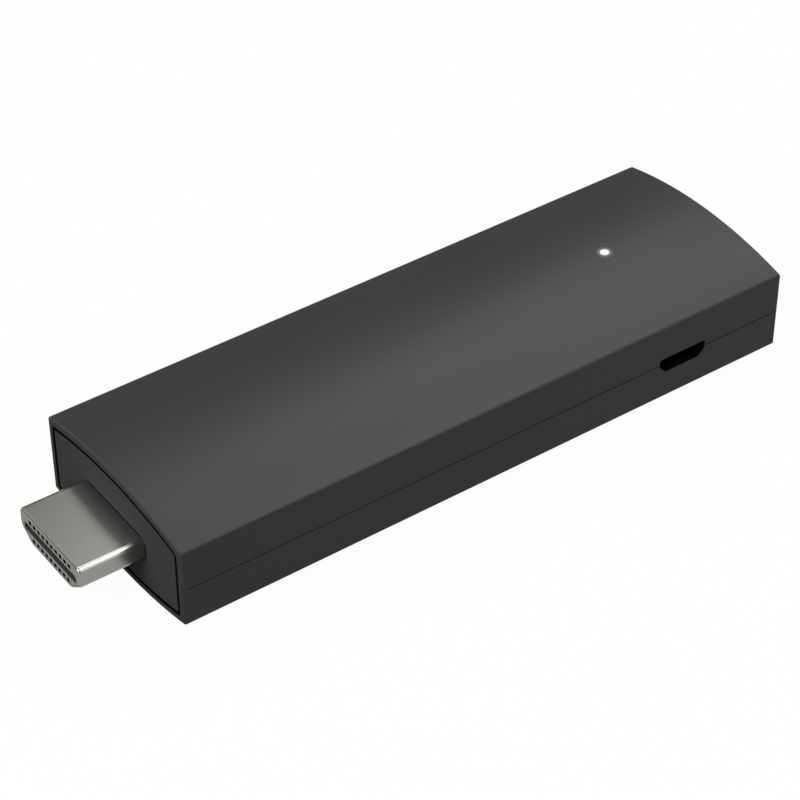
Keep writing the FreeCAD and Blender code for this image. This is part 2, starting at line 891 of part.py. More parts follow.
def make_status_led():
    base = block(light_x, 0, led_length, led_width, board_top, board_top + led_base)
    lens = block(light_x, 0, led_lens_length, led_width, board_top + led_base, board_top + led_height)
    return fuse([base, lens])


# Clear guide that carries the light from the lamp on the board to the shell's crown.
def make_light_pipe():
    boss_bottom = mid_z + crown_height(0, crown_wall) - light_boss_drop
    low = board_top + led_height + led_gap
    top = mid_z + crown_height(light_radius, 0)
    stem = Part.makeCylinder(light_radius, top - low, V(light_x, 0, low))
    rim = [e for e in stem.Edges if e.BoundBox.ZMin > top - light_edge]
    stem = stem.makeChamfer(light_edge, rim)
    flange = Part.makeCylinder(light_flange_radius, light_flange_height,
                               V(light_x, 0, boss_bottom - light_flange_height))
    return fuse([stem, flange])


def main():
    os.makedirs("parts", exist_ok=True)
    case = make_case()
    save("upper_shell", make_upper_shell(case))
    save("lower_shell", make_lower_shell(case))
    save("front_cap", make_front_cap())
    save("light_pipe", make_light_pipe())

    upper = make_contacts(1)
    lower = make_contacts(-1)
    save("hdmi_plug_shell", make_hdmi_plug_shell())
    save("hdmi_insulator", make_hdmi_insulator(upper + lower))
    save("hdmi_contacts_upper", Part.makeCompound(upper))
    save("hdmi_contacts_lower", Part.makeCompound(lower))

    save("main_board", make_main_board())
    save("processor", make_processor())
    save("memory_chips", Part.makeCompound(make_memory_chips()))
    save("flash_chip", make_flash_chip())
    save("power_chip", make_power_chip())
    save("wifi_module", make_wifi_module())
    save("power_inductors", Part.makeCompound(make_power_inductors()))
    save("crystals", Part.makeCompound(make_crystals()))
    save("capacitors", Part.makeCompound(make_capacitors()))
    save("esd_arrays", Part.makeCompound(make_esd_arrays()))
    save("antenna_right", make_antenna(-1))
    save("antenna_left", make_antenna(1))
    save("status_led", make_status_led())

    save("shield_frame_upper", make_shield_frame(1))
    save("shield_lid_upper", make_shield_lid(1))
    save("shield_frame_lower", make_shield_frame(-1))
    save("shield_lid_lower", make_shield_lid(-1))
    save("processor_pad", make_processor_pad())
    save("flash_pad", make_flash_pad())
    save("lid_pad_upper", make_lid_pad(1))
    save("lid_pad_lower", make_lid_pad(-1))
    save("heat_spreader_upper", make_heat_spreader(1))
    save("heat_spreader_lower", make_heat_spreader(-1))

    usb = make_usb_contacts()
    save("usb_shell", make_usb_shell())
    save("usb_insulator", make_usb_insulator(usb))
    save("usb_contacts", Part.makeCompound(usb))


main()
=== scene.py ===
import bpy
import bmesh
import math
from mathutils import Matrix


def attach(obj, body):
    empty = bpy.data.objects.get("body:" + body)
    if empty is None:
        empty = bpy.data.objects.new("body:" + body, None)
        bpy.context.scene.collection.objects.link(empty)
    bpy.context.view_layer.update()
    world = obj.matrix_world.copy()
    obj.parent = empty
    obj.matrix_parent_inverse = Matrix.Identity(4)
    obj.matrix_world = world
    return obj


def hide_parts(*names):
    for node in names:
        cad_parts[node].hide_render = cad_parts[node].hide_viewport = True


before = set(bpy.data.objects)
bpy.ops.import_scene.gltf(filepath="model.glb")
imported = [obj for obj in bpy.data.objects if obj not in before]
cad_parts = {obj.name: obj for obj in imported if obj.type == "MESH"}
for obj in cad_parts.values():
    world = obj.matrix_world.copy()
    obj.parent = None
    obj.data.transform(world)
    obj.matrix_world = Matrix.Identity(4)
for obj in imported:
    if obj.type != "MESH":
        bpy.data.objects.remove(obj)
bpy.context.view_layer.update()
print("frame loaded:", len(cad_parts), "nodes")

mm = 0.001    # every length below is in millimetres, and Blender's are in metres
past = 1      # how far a cutting tool reaches past what it cuts
touch = 0.01  # places nearer than this count as the same
weld = 0.002  # points closer than this become one

# Sizes that the housing's pieces share: X runs from the plug to the far end, and Z is up
body = {
    "front": -40.9,       # X of the front rim
    "rear": 49.8,         # X of the far end
    "half": 15.1,         # half its width
    "middle": 7.5,        # Z of the middle of its height
    "split": 7.4,         # Z of the seam between the shells
    "sideHeight": 11.2,   # height of the upright sides
    "crownRise": 1.9,     # how far each crown rises over them
    "edgeRadius": 0.3,
    "strips": 48,         # flats across each crown, too fine to see once smoothed
}

smoothing = {
    "angle": 32,          # edges that turn by more degrees than this stay sharp
    "weight": 80,         # how much the big faces win over the small rounded ones beside them
}


def hexColour(text):
    # sRGB hex to the linear values that a shader wants
    parts = [int(text[i:i + 2], 16) / 255 for i in (1, 3, 5)]
    return [p / 12.92 if p <= 0.04045 else ((p + 0.055) / 1.055) ** 2.4 for p in parts] + [1.0]


def addNode(tree, kind, settings=None, inputs=None):
    # one node; an input is a plain value, or an output socket to link from
    node = tree.nodes.new(kind)
    for key, value in (settings or {}).items():
        setattr(node, key, value)
    for key, value in (inputs or {}).items():
        if isinstance(value, bpy.types.NodeSocket):
            tree.links.new(value, node.inputs[key])
        else:
            node.inputs[key].default_value = value
    return node


def startMaterial(name):
    material = bpy.data.materials.new(name)
    material.use_nodes = True
    material.node_tree.nodes.clear()
    return material, material.node_tree


def finishMaterial(tree, shader):
    addNode(tree, "ShaderNodeOutputMaterial", inputs={"Surface": shader.outputs[0]})


def pickOnly(piece):
    bpy.ops.object.select_all(action="DESELECT")
    piece.select_set(True)
    bpy.context.view_layer.objects.active = piece


def startEdit(piece, kind):
    pickOnly(piece)
    bpy.ops.object.mode_set(mode="EDIT")
    bpy.ops.mesh.select_mode(type=kind)
    bpy.ops.mesh.select_all(action="DESELECT")


def endEdit():
    bpy.ops.object.mode_set(mode="OBJECT")


def pick(piece, kind, test):
    # selects the points, edges or faces that pass the test, and says how many there are
    mesh = bmesh.from_edit_mesh(piece.data)
    for group in (mesh.verts, mesh.edges, mesh.faces):
        for item in group:
            item.select = False
    kinds = {"VERT": mesh.verts, "EDGE": mesh.edges, "FACE": mesh.faces}
    chosen = [item for item in kinds[kind] if test(item)]
    for item in chosen:
        item.select = True
    mesh.select_flush_mode()
    bmesh.update_edit_mesh(piece.data)
    return len(chosen)


# Short tests of points, edges and faces, by place and direction
def spot(vert):
    return vert.co / mm


def middleOf(edge):
    return (edge.verts[0].co + edge.verts[1].co) / 2 / mm


def near(a, b, reach=touch):
    return abs(a - b) < reach


def below(edge, z):
    # whether an edge lies at this height or lower
    return middleOf(edge).z < z + touch


def looksDown(face):
    return face.normal.z < -0.9


def sharp(edge, degrees=40):
    return len(edge.link_faces) == 2 and math.degrees(edge.calc_face_angle(0)) > degrees


def along(edge, axis):
    # whether an edge runs along "x", "y" or "z"
    start, end = (spot(vert) for vert in edge.verts)
    return all(near(getattr(start, other), getattr(end, other)) for other in "xyz" if other != axis)


def atX(edge, x):
    # whether both ends of an edge are at this X
    return all(near(spot(vert).x, x) for vert in edge.verts)


def faceOut(piece):
    # merges doubled points and turns all faces outwards
    startEdit(piece, "FACE")
    bpy.ops.mesh.select_all(action="SELECT")
    bpy.ops.mesh.remove_doubles(threshold=weld * mm)
    bpy.ops.mesh.normals_make_consistent(inside=False)
    endEdit()


def takeMade(name):
    # the primitive that was just added, now named and with its place in its mesh
    piece = bpy.context.active_object
    piece.name = name
    piece.data.name = name
    bpy.ops.object.transform_apply(location=True, rotation=True, scale=True)
    return piece


def addCube(name, low, high):
    # a box between its low and high corners
    bpy.ops.object.select_all(action="DESELECT")
    centre = [(a + b) / 2 * mm for a, b in zip(low, high)]
    bpy.ops.mesh.primitive_cube_add(size=1, location=centre)
    bpy.context.active_object.scale = [(b - a) * mm for a, b in zip(low, high)]
    return takeMade(name)


def copyOf(piece, name):
    pickOnly(piece)
    bpy.ops.object.duplicate(linked=False)
    twin = bpy.context.active_object
    twin.name = name
    twin.data.name = name
    return twin


def cutWith(piece, tool, how="DIFFERENCE"):
    # the tool is used up
    pickOnly(piece)
    change = piece.modifiers.new("cut", "BOOLEAN")
    change.operation = how
    change.solver = "EXACT"
    change.object = tool
    bpy.ops.object.modifier_apply(modifier=change.name)
    bpy.data.objects.remove(tool, do_unlink=True)


def bevelEdges(piece, test, width, steps):
    startEdit(piece, "EDGE")
    if pick(piece, "EDGE", test):
        bpy.ops.mesh.bevel(offset=width * mm, offset_type="OFFSET", segments=steps, profile=0.5,
                           affect="EDGES", clamp_overlap=False)
    endEdit()


def smoothPiece(piece):
    # smooth shading that keeps the big faces true beside their small rounded edges
    pickOnly(piece)
    bpy.ops.object.shade_smooth_by_angle(angle=math.radians(smoothing["angle"]))
    change = piece.modifiers.new("normals", "WEIGHTED_NORMAL")
    change.mode = "FACE_AREA"
    change.weight = smoothing["weight"]
    change.keep_sharp = True
    bpy.ops.object.modifier_apply(modifier=change.name)


def setMaterial(piece, material, others=()):
    # each further material goes to the faces that its test picks, by centre and normal
    piece.data.materials.clear()
    piece.data.materials.append(material)
    for other, isThere in others:
        piece.data.materials.append(other)
        for face in piece.data.polygons:
            if isThere(face.center / mm, face.normal):
                face.material_index = len(piece.data.materials) - 1


def crownedBar(name, x0, x1, sideInset, crownInset):
    # a bar with the housing's crowned top and bottom, drawn in by its insets
    radius = (body["half"] ** 2 + body["crownRise"] ** 2) / (2 * body["crownRise"])
    arcZ = body["middle"] + body["sideHeight"] / 2 + body["crownRise"] - radius
    radius -= crownInset
    half = body["half"] - sideInset
    edgeZ = arcZ + math.sqrt(radius ** 2 - half ** 2)
    length = x1 - x0

    # one edge of a plane is spun over the crown, and the rest of the plane goes
    bpy.ops.object.select_all(action="DESELECT")
    planeY = -half - length / 2
    bpy.ops.mesh.primitive_plane_add(size=length * mm, location=((x0 + x1) / 2 * mm, planeY * mm, edgeZ * mm))
    piece = takeMade(name)
    startEdit(piece, "VERT")
    pick(piece, "VERT", lambda v: spot(v).y < planeY)
    bpy.ops.mesh.delete(type="VERT")
    bpy.ops.mesh.select_all(action="SELECT")
    bpy.ops.mesh.spin(steps=body["strips"], angle=2 * math.asin(half / radius), center=(0, 0, arcZ * mm),
                      axis=(1, 0, 0))
    bpy.ops.mesh.select_all(action="SELECT")
    bpy.ops.mesh.remove_doubles(threshold=weld * mm)

    # the crown is mirrored below, then the long sides and the ends are closed
    bpy.ops.mesh.select_all(action="SELECT")
    bpy.ops.mesh.duplicate()
    bpy.ops.transform.resize(value=(1, 1, -1), center_override=(0, 0, body["middle"] * mm))
    bpy.ops.mesh.select_mode(type="EDGE")
    for y in (-half, half):
        pick(piece, "EDGE", lambda e: along(e, "x") and near(middleOf(e).y, y))
        bpy.ops.mesh.edge_face_add()
    for x in (x0, x1):
        pick(piece, "EDGE", lambda e: atX(e, x))
        bpy.ops.mesh.edge_face_add()
    endEdit()
    faceOut(piece)
    return piece


housing = {
    "sideWall": 1.7,
    "crownWall": 1.6,
    "endWall": 1.6,
    "rim": 0.94,          # wall left round the recess that takes the cap
    "recess": 1.7,        # its depth
    "openingCorner": 0.5,
    "cornerSteps": 5,
    "edgeSteps": 6,
}

# The seam's shadow groove, cut round the top edge of the lower shell
groove = {
    "height": 0.16,
    "depth": 0.14,
    "start": 0.6,         # how far behind the front rim it begins
    "steps": 4,
}

# The socket's opening in the near long side: upright ends above, sloping ones below
port = {
    "x": 33.75,
    "z": 7.07,
    "width": 7.4,
    "height": 2.2,
    "floor": 5.3,         # width at its foot
    "shoulder": 0.35,     # radius of the upper corners
    "side": 0.85,         # height of the upright ends under those corners
    "corner": 0.2,        # radius of the lower corners
    "depth": 2.0,         # how far in it is cut, a little past the wall
    "steps": 4,
}

# The small round light on top
light = {
    "x": 32.8,
    "radius": 0.75,
    "clearance": 0.02,    # between the guide and its hole
    "haloRadius": 1.35,   # how far from its middle the painted glow reaches into the plastic
    "sides": 48,
    "drill": 10,          # length of the tool that cuts the hole
}


def makeCase():
    case = crownedBar("case", body["front"], body["rear"], 0, 0)
    bevelEdges(case, sharp, body["edgeRadius"], housing["edgeSteps"])
    cavity = crownedBar("cavity", body["front"] - past, body["rear"] - housing["endWall"],
                        housing["sideWall"], housing["crownWall"])
    cutWith(case, cavity)
    recess = crownedBar("recess", body["front"] - past, body["front"] + housing["recess"],
                        housing["rim"], housing["rim"])
    bevelEdges(recess, lambda e: sharp(e) and along(e, "x"), housing["openingCorner"], housing["cornerSteps"])
    cutWith(case, recess)
    return case


def makePortTool():
    top = port["z"] + port["height"] / 2
    low = port["z"] - port["height"] / 2
    waist = top - port["shoulder"] - port["side"]
    tool = addCube("portTool", (port["x"] - port["width"] / 2, -body["half"] - past, low),
                   (port["x"] + port["width"] / 2, -body["half"] + port["depth"], top))
    startEdit(tool, "FACE")
    bpy.ops.mesh.select_all(action="SELECT")
    bpy.ops.mesh.bisect(plane_co=(0, 0, waist * mm), plane_no=(0, 0, 1))
    pick(tool, "FACE", looksDown)
    bpy.ops.transform.resize(value=(port["floor"] / port["width"], 1, 1),
                             center_override=(port["x"] * mm, 0, 0))
    endEdit()
    bevelEdges(tool, lambda e: along(e, "y") and near(middleOf(e).z, top), port["shoulder"], port["steps"])
    bevelEdges(tool, lambda e: along(e, "y") and below(e, waist) and sharp(e, degrees=20),
               port["corner"], port["steps"])
    faceOut(tool)
    return tool


def makeGrooveTool():
    # a box with its middle taken out, so that it cuts only the outside of the wall
    low = body["split"] - groove["height"]
    innerY = body["half"] - groove["depth"]
    ring = addCube("grooveTool", (body["front"] + groove["start"], -body["half"] - past, low),
                   (body["rear"] + past, body["half"] + past, body["split"] + past / 2))
    core = addCube("grooveCore", (body["front"] - past, -innerY, low - past),
                   (body["rear"] - groove["depth"], innerY, body["split"] + past))
    bevelEdges(core, lambda e: along(e, "z") and middleOf(e).x > 0,
               body["edgeRadius"] - groove["depth"], groove["steps"])
    cutWith(ring, core)
    return ring


def keepBetween(piece, z0, z1):
    box = addCube("keepBox", (body["front"] - past, -body["half"] - past, z0),
                  (body["rear"] + past, body["half"] + past, z1))
    cutWith(piece, box, "INTERSECT")


def makeShells():
    # one closed case is made first and then halved along the seam
    top = 2 * body["middle"]
    upper = makeCase()
    lower = copyOf(upper, "lowerShell")
    upper.name = "upperShell"
    upper.data.name = "upperShell"
    keepBetween(upper, body["split"], top + past)
    keepBetween(lower, -past, body["split"])
    for piece in (upper, lower):
        cutWith(piece, makePortTool())
    cutWith(lower, makeGrooveTool())

    bpy.ops.object.select_all(action="DESELECT")
    bpy.ops.mesh.primitive_cylinder_add(
        vertices=light["sides"], radius=(light["radius"] + light["clearance"]) * mm,
        depth=light["drill"] * mm, location=(light["x"] * mm, 0, top * mm))
    cutWith(upper, takeMade("lightDrill"))
    for piece in (upper, lower):
        faceOut(piece)
        smoothPiece(piece)
    return upper, lower


upperShell, lowerShell = makeShells()
print("shells made:", len(upperShell.data.polygons), len(lowerShell.data.polygons), "faces")

plug = {
    "tip": -49.8,
    "tail": -35.9,        # hidden end of the tube, inside the housing
    "z": 7.0,             # of the middle of its height
    "width": 13.9,
    "height": 4.45,
    "side": 2.7,          # height of its upright sides, down to the sloping ones
    "floor": 9.3,         # width at its foot
    "corner": 0.7,
    "lowerCorner": 0.45,
    "cornerSteps": 8,
    "innerSteps": 6,
    "sheet": 0.3,         # thickness of the sheet that it is bent from
    "nose": 0.36,         # rounding of the pressed tip
    "noseSteps": 6,
    "seam": 0.1,          # width of the butt seam underneath
}


def plugBar(name, x0, x1, growth, corner, lowerCorner, steps):
    # the plug's keyed outline as a solid along X, grown all round by one distance
    top = plug["z"] + plug["height"] / 2 + growth
    low = plug["z"] - plug["height"] / 2 - growth
    half = plug["width"] / 2 + growth
    slope = math.atan2(plug["height"] - plug["side"], (plug["width"] - plug["floor"]) / 2)
    waist = plug["z"] + plug["height"] / 2 - plug["side"] - growth * math.tan((math.pi / 2 - slope) / 2)
    floorHalf = plug["floor"] / 2 + growth * math.tan(slope / 2)
    piece = addCube(name, (x0, -half, low), (x1, half, top))
    startEdit(piece, "FACE")
    bpy.ops.mesh.select_all(action="SELECT")
    bpy.ops.mesh.bisect(plane_co=(0, 0, waist * mm), plane_no=(0, 0, 1))
    pick(piece, "FACE", looksDown)
    bpy.ops.transform.resize(value=(1, floorHalf / half, 1), center_override=(0, 0, 0))
    endEdit()
    bevelEdges(piece, lambda e: along(e, "x") and near(middleOf(e).z, top), corner, steps)
    bevelEdges(piece, lambda e: along(e, "x") and below(e, waist) and sharp(e, degrees=20),
               lowerCorner, steps)
    # each flat becomes one face again, so that later bevels and cuts run clean
    startEdit(piece, "FACE")
    bpy.ops.mesh.select_all(action="SELECT")
    bpy.ops.mesh.dissolve_limited(angle_limit=math.radians(1))
    endEdit()
    faceOut(piece)
    return piece


def makePlugShell():
    tube = plugBar("plugShell", plug["tip"], plug["tail"], 0, plug["corner"], plug["lowerCorner"],
                   plug["cornerSteps"])
    # the pressed nose is rounded before the tube is hollowed
    bevelEdges(tube, lambda e: sharp(e) and atX(e, plug["tip"]), plug["nose"], plug["noseSteps"])
    room = plugBar("plugRoom", plug["tip"] - past, plug["tail"] + past, -plug["sheet"],
                   plug["corner"] - plug["sheet"], plug["lowerCorner"] - plug["sheet"], plug["innerSteps"])
    cutWith(tube, room)
    low = plug["z"] - plug["height"] / 2
    seam = addCube("plugSeam", (plug["tip"] - past, -plug["seam"] / 2, low - past),
                   (plug["tail"] + past, plug["seam"] / 2, low + 2 * plug["sheet"]))
    cutWith(tube, seam)
    faceOut(tube)
    smoothPiece(tube)
    return tube


plugShell = makePlugShell()
print("plug made:", len(plugShell.data.polygons), "faces")

cap = {
    "gap": 0.44,          # shadow gap between the cap and the rim
    "edge": 0.15,         # rounding of its front edge
    "edgeSteps": 3,
    "mouthGap": 0.12,     # between the plug and the cap's mouth
    "mouthCorner": 1.2,
    "mouthLowerCorner": 0.6,
    "mouthSteps": 8,
    "skirt": 1.0,         # thickness of the skirt behind the plate
    "skirtDepth": 2.6,
    "skirtGap": 0.1,      # between the skirt and the shells' walls
    "socketWall": 1.0,    # of the socket that holds the plug
    "socketDepth": 1.9,
    "socketSteps": 4,
    "overlap": 0.2,       # how far the skirt and the socket start inside the plate
}


def makeFrontCap():
    inset = housing["rim"] + cap["gap"]
    back = body["front"] + housing["recess"]
    plate = crownedBar("frontCap", body["front"], back, inset, inset)
    bevelEdges(plate, lambda e: sharp(e) and along(e, "x"), housing["openingCorner"] - cap["gap"] / 2,
               housing["cornerSteps"])
    bevelEdges(plate, lambda e: sharp(e) and atX(e, body["front"]), cap["edge"], cap["edgeSteps"])

    sideInset = housing["sideWall"] + cap["skirtGap"]
    crownInset = housing["crownWall"] + cap["skirtGap"]
    skirt = crownedBar("skirt", back - cap["overlap"], back + cap["skirtDepth"], sideInset, crownInset)
    hollow = crownedBar("hollow", back, back + cap["skirtDepth"] + past, sideInset + cap["skirt"],
                        crownInset + cap["skirt"])
    cutWith(skirt, hollow)
    cutWith(plate, skirt, "UNION")

    socket = plugBar("socket", back - cap["overlap"], back + cap["socketDepth"],
                     cap["mouthGap"] + cap["socketWall"], plug["corner"], plug["lowerCorner"],
                     cap["socketSteps"])
    cutWith(plate, socket, "UNION")
    mouth = plugBar("mouth", body["front"] - past, back + cap["socketDepth"] + past, cap["mouthGap"],
                    cap["mouthCorner"], cap["mouthLowerCorner"], cap["mouthSteps"])
    cutWith(plate, mouth)
    faceOut(plate)
    smoothPiece(plate)
    return plate


frontCap = makeFrontCap()
print("cap made:", len(frontCap.data.polygons), "faces")

shellLook = {
    "colour": "#3f3f3f",
    "dark": "#3d3d3d",
    "roughness": 0.32,
    "sheenChange": 0.03,  # how far the roughness drifts to either side
    "cloudSize": 28,      # size of the patches that it drifts over
    "ior": 1.45,
    "level": 0.225,
    "grainSize": 0.2,     # 0.08 mm in life, and drawn as fine as the render shows
    "grainDepth": 0.01,
    "bump": 0.2,
    "haloGlow": 0.0,      # brightness of the painted glow on the plastic at the light's edge
}


def distanceFromLight(tree, place):
    # distance in plan from the guide's own axis
    centred = addNode(tree, "ShaderNodeMapping", inputs={"Vector": place.outputs["Object"],
                      "Location": (-light["x"] * mm, 0, 0)})
    parts = addNode(tree, "ShaderNodeSeparateXYZ", inputs={"Vector": centred.outputs["Vector"]})
    flat = addNode(tree, "ShaderNodeCombineXYZ", inputs={"X": parts.outputs["X"], "Y": parts.outputs["Y"]})
    return addNode(tree, "ShaderNodeVectorMath", {"operation": "LENGTH"}, {"Vector": flat.outputs["Vector"]})


def plasticMaterial(name, look):
    # Moulded ABS and polycarbonate blend: the spark-eroded mould leaves a very fine satin grain, so
    # highlights are broad and soft, and no single grain shows from a step away.
    material, tree = startMaterial(name)
    place = addNode(tree, "ShaderNodeTexCoord")
    grain = addNode(tree, "ShaderNodeTexNoise", inputs={"Vector": place.outputs["Object"],
                    "Scale": 1 / (look["grainSize"] * mm), "Detail": 2.0, "Roughness": 0.5})
    # slow change of sheen over the moulding, where it cooled unevenly
    cloud = addNode(tree, "ShaderNodeTexNoise", inputs={"Vector": place.outputs["Object"],
                    "Scale": 1 / (look["cloudSize"] * mm), "Detail": 3.0, "Roughness": 0.55})
    colour = addNode(tree, "ShaderNodeMix", {"data_type": "RGBA"}, {
        "Factor": cloud.outputs["Fac"], "A": hexColour(look["dark"]), "B": hexColour(look["colour"])})
    sheen = addNode(tree, "ShaderNodeMapRange", inputs={
        "Value": cloud.outputs["Fac"], "From Min": 0.3, "From Max": 0.7,
        "To Min": look["roughness"] - look["sheenChange"], "To Max": look["roughness"] + look["sheenChange"]})
    bump = addNode(tree, "ShaderNodeBump", inputs={"Strength": look["bump"],
                   "Distance": look["grainDepth"] * mm, "Height": grain.outputs["Fac"]})
    shader = addNode(tree, "ShaderNodeBsdfPrincipled", inputs={
        "Base Color": colour.outputs["Result"], "Roughness": sheen.outputs["Result"],
        "IOR": look["ior"], "Specular IOR Level": look["level"], "Normal": bump.outputs["Normal"]})
    if look["haloGlow"]:
        # painted glow: the plastic round the guide emits a faint white light, painted on to stand for the
        # lamp under the guide bleeding a little way into it
        away = distanceFromLight(tree, place)
        fade = addNode(tree, "ShaderNodeMapRange", inputs={
            "Value": away.outputs["Value"], "From Min": light["radius"] * mm,
            "From Max": light["haloRadius"] * mm, "To Min": math.sqrt(look["haloGlow"]), "To Max": 0.0})
        paintedGlow = addNode(tree, "ShaderNodeMath", {"operation": "MULTIPLY"},
                        {0: fade.outputs["Result"], 1: fade.outputs["Result"]})
        shader.inputs["Emission Color"].default_value = hexColour("#ffffff")
        tree.links.new(paintedGlow.outputs["Value"], shader.inputs["Emission Strength"])
    finishMaterial(tree, shader)
    return material


shellPlastic = plasticMaterial("charcoalMouldedAbs", shellLook)
glowPaintedPlastic = plasticMaterial("charcoalMouldedAbsPaintedGlow", dict(shellLook, haloGlow=0.15))
# the cap and the shells' front ends are matte, without the satin gloss, and painted lighter than the shells
# to stand for the light on these forward faces
paintedLighterPlastic = plasticMaterial("matteMouldedAbsPaintedLighter", dict(shellLook, colour="#515151", dark="#4f4f4f", level=0.0))

nickelLook = {
    "colour": "#bdbbb7",
    "lowRoughness": 0.22,
    "highRoughness": 0.24,
    "lineWidth": 0.2,
    "lineLength": 3.333,
}


def nickelMaterial():
    # Bright nickel over stamped steel: neutral, a touch warm, with a soft mirror from the plating bath
    material, tree = startMaterial("nickelPlatedSteel")
    place = addNode(tree, "ShaderNodeTexCoord")
    # rolling lines left by the strip mill, which run along the plug
    fine = 1 / (nickelLook["lineWidth"] * mm)
    stretch = addNode(tree, "ShaderNodeMapping", inputs={
        "Vector": place.outputs["Object"], "Scale": (1 / (nickelLook["lineLength"] * mm), fine, fine)})
    lines = addNode(tree, "ShaderNodeTexNoise", inputs={"Vector": stretch.outputs["Vector"], "Scale": 1.0,
                    "Detail": 2.0})
    sheen = addNode(tree, "ShaderNodeMapRange", inputs={
        "Value": lines.outputs["Fac"], "From Min": 0.3, "From Max": 0.7,
        "To Min": nickelLook["lowRoughness"], "To Max": nickelLook["highRoughness"]})
    shader = addNode(tree, "ShaderNodeBsdfPrincipled", inputs={
        "Base Color": hexColour(nickelLook["colour"]), "Metallic": 1.0, "Roughness": sheen.outputs["Result"]})
    finishMaterial(tree, shader)
    return material


nickel = nickelMaterial()

plainLook = {
    "colourChange": 0.03,  # share by which the colour drifts to either side
    "sheenChange": 0.04,
    "grainDepth": 0.01,
    "bump": 0.1,
}


def plainMaterial(name, colour, roughness, metallic=0.0, level=0.5, grainSize=0.3):
    # a small part's finish: one colour that drifts a little, and a fine grain in its gloss
    material, tree = startMaterial(name)
    place = addNode(tree, "ShaderNodeTexCoord")
    grain = addNode(tree, "ShaderNodeTexNoise", inputs={"Vector": place.outputs["Object"],
                    "Scale": 1 / (grainSize * mm), "Detail": 2.0})
    drift = addNode(tree, "ShaderNodeMapRange", inputs={"Value": grain.outputs["Fac"],
                    "To Min": 1 - plainLook["colourChange"], "To Max": 1 + plainLook["colourChange"]})
    tint = addNode(tree, "ShaderNodeHueSaturation", inputs={"Color": hexColour(colour),
                   "Value": drift.outputs["Result"]})
    sheen = addNode(tree, "ShaderNodeMapRange", inputs={"Value": grain.outputs["Fac"],
                    "To Min": roughness - plainLook["sheenChange"],
                    "To Max": roughness + plainLook["sheenChange"]})
    bump = addNode(tree, "ShaderNodeBump", inputs={"Strength": plainLook["bump"],
                   "Distance": plainLook["grainDepth"] * mm, "Height": grain.outputs["Fac"]})
    shader = addNode(tree, "ShaderNodeBsdfPrincipled", inputs={
        "Base Color": tint.outputs["Color"], "Metallic": metallic, "Roughness": sheen.outputs["Result"],
        "Specular IOR Level": level, "Normal": bump.outputs["Normal"]})
    finishMaterial(tree, shader)
    return material


guideLook = {
    "colour": "#5a5a5a",
    "roughness": 0.3,
    "core": 0.25,         # radius inside which it is brightest
    "coreGlow": 1.5,
    "rimGlow": 0.1,
}


def guideMaterial():
    # Clear polycarbonate guide lit from below by a white lamp: brightest in the middle, softer at its rim
    material, tree = startMaterial("litClearPolycarbonate")
    place = addNode(tree, "ShaderNodeTexCoord")
    away = distanceFromLight(tree, place)
    glow = addNode(tree, "ShaderNodeMapRange", {"interpolation_type": "SMOOTHSTEP"}, {
        "Value": away.outputs["Value"], "From Min": guideLook["core"] * mm, "From Max": light["radius"] * mm,
        "To Min": guideLook["coreGlow"], "To Max": guideLook["rimGlow"]})
    shader = addNode(tree, "ShaderNodeBsdfPrincipled", inputs={
        "Base Color": hexColour(guideLook["colour"]), "Roughness": guideLook["roughness"],
        "Emission Color": hexColour("#ffffff"), "Emission Strength": glow.outputs["Result"]})
    finishMaterial(tree, shader)
    return material


coreLook = {
    "face": "#acaba8",
    "faceLight": "#b2b1ae",
    # painted shade: the windows and the slot just inside the face are painted dark for the shade in these
    # hollows
    "window": "#050505",
    "slot": "#50504e",
    "slotHalf": 0.62,     # a little over half the slot's height
    "shadeStart": 0.05,    # the pale face gives way to painted shade between these two depths behind the plug's tip
    "shadeEnd": 0.09,
    "grainSize": 0.3,
    "roughness": 0.5,
    "level": 0.2,
}


def plugCoreMaterial():
    # Glass-filled nylon with a pale satin face, and painted shade just behind it: the windows are painted
    # black and the slot dark grey, as the shade inside these hollows
    material, tree = startMaterial("nylonWithPaintedShade")
    place = addNode(tree, "ShaderNodeTexCoord")
    parts = addNode(tree, "ShaderNodeSeparateXYZ", inputs={"Vector": place.outputs["Object"]})
    depth = addNode(tree, "ShaderNodeMapRange", inputs={
        "Value": parts.outputs["X"], "From Min": (plug["tip"] + coreLook["shadeStart"]) * mm,
        "From Max": (plug["tip"] + coreLook["shadeEnd"]) * mm})
    grain = addNode(tree, "ShaderNodeTexNoise", inputs={"Vector": place.outputs["Object"],
                    "Scale": 1 / (coreLook["grainSize"] * mm), "Detail": 2.0})
    pale = addNode(tree, "ShaderNodeMix", {"data_type": "RGBA"}, {
        "Factor": grain.outputs["Fac"],
        "A": hexColour(coreLook["face"]), "B": hexColour(coreLook["faceLight"])})
    inSlot = addNode(tree, "ShaderNodeMath", {"operation": "COMPARE"},
                     {0: parts.outputs["Z"], 1: plug["z"] * mm, 2: coreLook["slotHalf"] * mm})
    # painted shade, black in the windows and dark grey in the slot
    dark = addNode(tree, "ShaderNodeMix", {"data_type": "RGBA"}, {
        "Factor": inSlot.outputs["Value"],
        "A": hexColour(coreLook["window"]), "B": hexColour(coreLook["slot"])})
    both = addNode(tree, "ShaderNodeMix", {"data_type": "RGBA"}, {
        "Factor": depth.outputs["Result"], "A": pale.outputs["Result"], "B": dark.outputs["Result"]})
    shader = addNode(tree, "ShaderNodeBsdfPrincipled", inputs={
        "Base Color": both.outputs["Result"], "Roughness": coreLook["roughness"],
        "Specular IOR Level": coreLook["level"]})
    finishMaterial(tree, shader)
    return material


